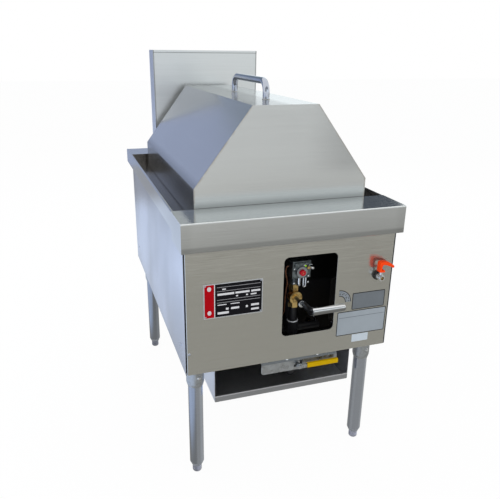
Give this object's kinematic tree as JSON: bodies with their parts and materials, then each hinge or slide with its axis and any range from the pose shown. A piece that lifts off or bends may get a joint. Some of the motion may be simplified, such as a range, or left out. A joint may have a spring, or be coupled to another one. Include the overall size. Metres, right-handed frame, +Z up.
{
  "type": "gas steamer range",
  "caption": "Free-standing gas steamer range: water gutter round a lift-off pitched hood with a bar handle, rear flue riser, tubular legs and a windowed front with lever valves.",
  "frame": {"origin": "on the floor, under the middle of the whole object", "axes": "+Z up, +Y from the front apron to the rear, +X to the right seen from the front"},
  "size_m": [0.61, 1.082, 1.173],
  "materials": {
    "steel_sheet": "fine brushed stainless sheet, nearly mirror-like on the hood",
    "leg_steel": "stainless tube, satin",
    "galvanised": "galvanised steel, soft grey",
    "plated_steel": "bright plated steel",
    "dark_steel": "heat-darkened steel",
    "black_iron": "black pipe and fittings, satin",
    "black_handle": "black painted casting, satin",
    "brass": "cast and turned brass, dull",
    "copper": "copper tube, slightly tarnished",
    "die_cast": "die-cast body, satin grey",
    "yellow_sleeve": "yellow dipped vinyl sleeve",
    "orange_lever": "orange coated lever, semi-gloss",
    "red_button": "red moulded button, glossy",
    "black_nut": "black moulded nut, satin",
    "rating_panel": "printed metal plate, bare of text",
    "notice_panel": "plain adhesive plates, bare of text"
  },
  "bodies": {
    "body": {"deck": "steel_sheet", "gutter_sides": "steel_sheet", "gutter_ends": "steel_sheet", "water_tank": "steel_sheet", "flue_riser": "steel_sheet", "flue_duct": "galvanised", "front_panel": "steel_sheet", "left_panel": "steel_sheet", "right_panel": "steel_sheet", "rear_panel": "steel_sheet", "base_frame": "galvanised", "leg_sockets": "leg_steel", "socket_screws": "plated_steel", "leg_fl": "leg_steel", "leg_fr": "leg_steel", "leg_rl": "leg_steel", "leg_rr": "leg_steel", "leg_collars": "leg_steel", "heat_tray": "steel_sheet", "valve_bracket": "galvanised", "bracket_screws": "plated_steel", "ball_valve_body": "plated_steel", "gas_inlet_pipe": "black_iron", "gas_riser_pipe": "black_iron", "gas_valve_body": "brass", "safety_valve_body": "die_cast", "valve_fittings": "plated_steel", "pilot_tube": "plated_steel", "thermocouple_tube": "copper", "gas_manifold": "black_iron", "gas_orifices": "brass", "burner_tubes": "dark_steel", "pilot_burner": "galvanised", "chamber_liner": "dark_steel", "side_baffles": "galvanised", "water_valve_body": "plated_steel", "water_valve_nut": "black_nut", "water_fill_pipe": "copper", "drain_pipe": "leg_steel", "rating_plate": "rating_panel", "notice_plates": "notice_panel", "plate_rivets": "plated_steel", "panel_screws": "plated_steel"},
    "hood": {"hood_shell": "steel_sheet", "hood_handle": "leg_steel", "handle_nuts": "plated_steel"},
    "rack": {"steam_rack": "steel_sheet"},
    "standpipe": {"standpipe": "leg_steel"},
    "gas_handle": {"valve_stem": "plated_steel", "handle_neck": "black_handle", "handle_bar": "plated_steel", "handle_screw": "plated_steel"},
    "ball_lever": {"ball_valve_lever": "plated_steel", "lever_sleeve": "yellow_sleeve"},
    "water_handle": {"water_lever": "orange_lever"},
    "button": {"reset_button": "red_button"},
    "foot_fl": {"foot_fl": "leg_steel"},
    "foot_fr": {"foot_fr": "leg_steel"},
    "foot_rl": {"foot_rl": "leg_steel"},
    "foot_rr": {"foot_rr": "leg_steel"}
  },
  "joints": [
    {"name": "hood_lift", "type": "slide", "parent": "body", "child": "hood", "axis": [0, 0, 1], "range_m": [0, 0.35]},
    {"name": "rack_lift", "type": "slide", "parent": "body", "child": "rack", "axis": [0, 0, 1], "range_m": [0, 0.12]},
    {"name": "standpipe_lift", "type": "slide", "parent": "body", "child": "standpipe", "axis": [0, 0, 1], "range_m": [0, 0.12]},
    {"name": "gas_handle_turn", "type": "hinge", "parent": "body", "child": "gas_handle", "pos_m": [0.032, -0.48, 0.5275], "axis": [0, 1, 0], "range_deg": [0, 90]},
    {"name": "ball_lever_turn", "type": "hinge", "parent": "body", "child": "ball_lever", "pos_m": [0.032, -0.487, 0.334], "axis": [0, 1, 0], "range_deg": [0, 90]},
    {"name": "water_lever_turn", "type": "hinge", "parent": "body", "child": "water_handle", "pos_m": [0.25, -0.513, 0.594], "axis": [0, 0, -1], "range_deg": [0, 90]},
    {"name": "button_press", "type": "slide", "parent": "body", "child": "button", "axis": [0, 1, 0], "range_m": [0, 0.004], "stiffness_N_per_m": 400},
    {"name": "foot_fl_screw", "type": "slide", "parent": "body", "child": "foot_fl", "axis": [0, 0, 1], "range_m": [-0.025, 0]},
    {"name": "foot_fr_screw", "type": "slide", "parent": "body", "child": "foot_fr", "axis": [0, 0, 1], "range_m": [-0.025, 0]},
    {"name": "foot_rl_screw", "type": "slide", "parent": "body", "child": "foot_rl", "axis": [0, 0, 1], "range_m": [-0.025, 0]},
    {"name": "foot_rr_screw", "type": "slide", "parent": "body", "child": "foot_rr", "axis": [0, 0, 1], "range_m": [-0.025, 0]}
  ]
}
